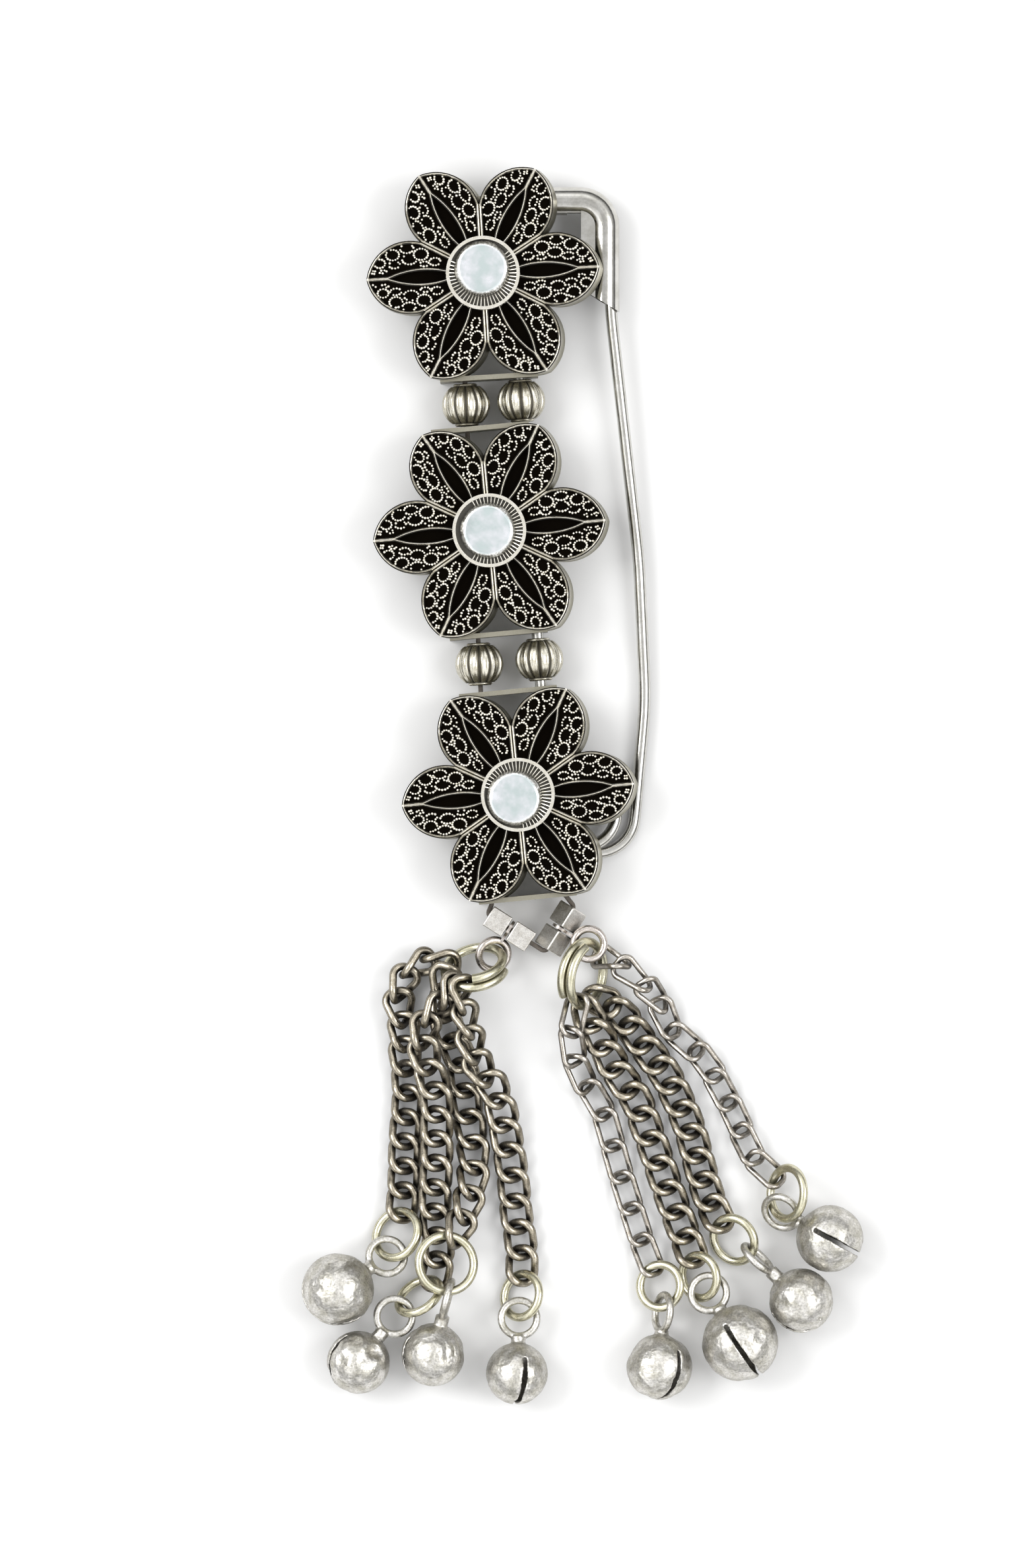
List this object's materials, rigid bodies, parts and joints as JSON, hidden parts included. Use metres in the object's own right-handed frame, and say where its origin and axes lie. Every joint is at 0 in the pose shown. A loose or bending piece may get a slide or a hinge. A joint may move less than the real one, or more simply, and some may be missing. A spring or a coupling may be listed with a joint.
{
  "type": "saree pin",
  "caption": "Brooch pin: a large safety pin behind a column of petalled flowers with mirrors and ribbed beads, with curb chains and round jingle bells hanging below.",
  "frame": {"origin": "bottom centre of the bounding box, on the surface that the pin lies on", "axes": "+X to the right of the front, +Y up the column towards the cap, +Z out of the front"},
  "size_m": [0.0596, 0.1311, 0.0082],
  "materials": {
    "plated_wire": "bright nickel plate with fine scratches",
    "cast_flower": "oxidised cast metal, polished on its rims and granules",
    "mirror_glass": "silvered glass, a little worn",
    "bead": "oxidised white metal, dark in its grooves",
    "thread": "dark thread",
    "silver_ring": "worn silver plate",
    "pale_brass_ring": "pale greenish plate, satin",
    "curb_chain": "oxidised, warm and bright on its high parts",
    "fine_chain": "oxidised white metal",
    "bell": "mottled silver with dents"
  },
  "bodies": {
    "column": {"pin_frame": "plated_wire", "pin_head": "plated_wire", "string": "thread", "flower_1": "cast_flower", "flower_2": "cast_flower", "flower_3": "cast_flower", "mirror_1": "mirror_glass", "mirror_2": "mirror_glass", "mirror_3": "mirror_glass", "melon_bead_1": "bead", "melon_bead_2": "bead", "melon_bead_3": "bead", "melon_bead_4": "bead", "cube_bead_1": "bead", "cube_bead_2": "bead", "cube_bead_3": "bead", "cube_bead_4": "bead", "eye_ring_left": "silver_ring", "eye_ring_right": "silver_ring", "jump_ring_left": "pale_brass_ring", "jump_ring_right": "pale_brass_ring", "chain_l1": "curb_chain", "chain_l2": "curb_chain", "chain_l3": "curb_chain", "chain_l4": "curb_chain", "chain_r1": "fine_chain", "chain_r2": "curb_chain", "chain_r3": "curb_chain", "chain_r4": "fine_chain", "drop_ring_1": "pale_brass_ring", "drop_ring_2": "pale_brass_ring", "drop_ring_3": "pale_brass_ring", "drop_ring_4": "pale_brass_ring", "drop_ring_5": "pale_brass_ring", "drop_ring_6": "pale_brass_ring", "drop_ring_7": "pale_brass_ring", "drop_ring_8": "pale_brass_ring", "bell_1": "bell", "bell_2": "bell", "bell_3": "bell", "bell_4": "bell", "bell_5": "bell", "bell_6": "bell", "bell_7": "bell", "bell_8": "bell"},
    "opening_wire": {"pin_arm": "plated_wire"}
  },
  "joints": [
    {"name": "pin_press", "type": "hinge", "parent": "column", "child": "opening_wire", "pos_m": [0.00007, -0.00286, 0.0013], "axis": [0, 0, 1], "range_deg": [0, 3.5], "stiffness_Nm_per_rad": 0.05, "springref_deg": -8.59}
  ]
}
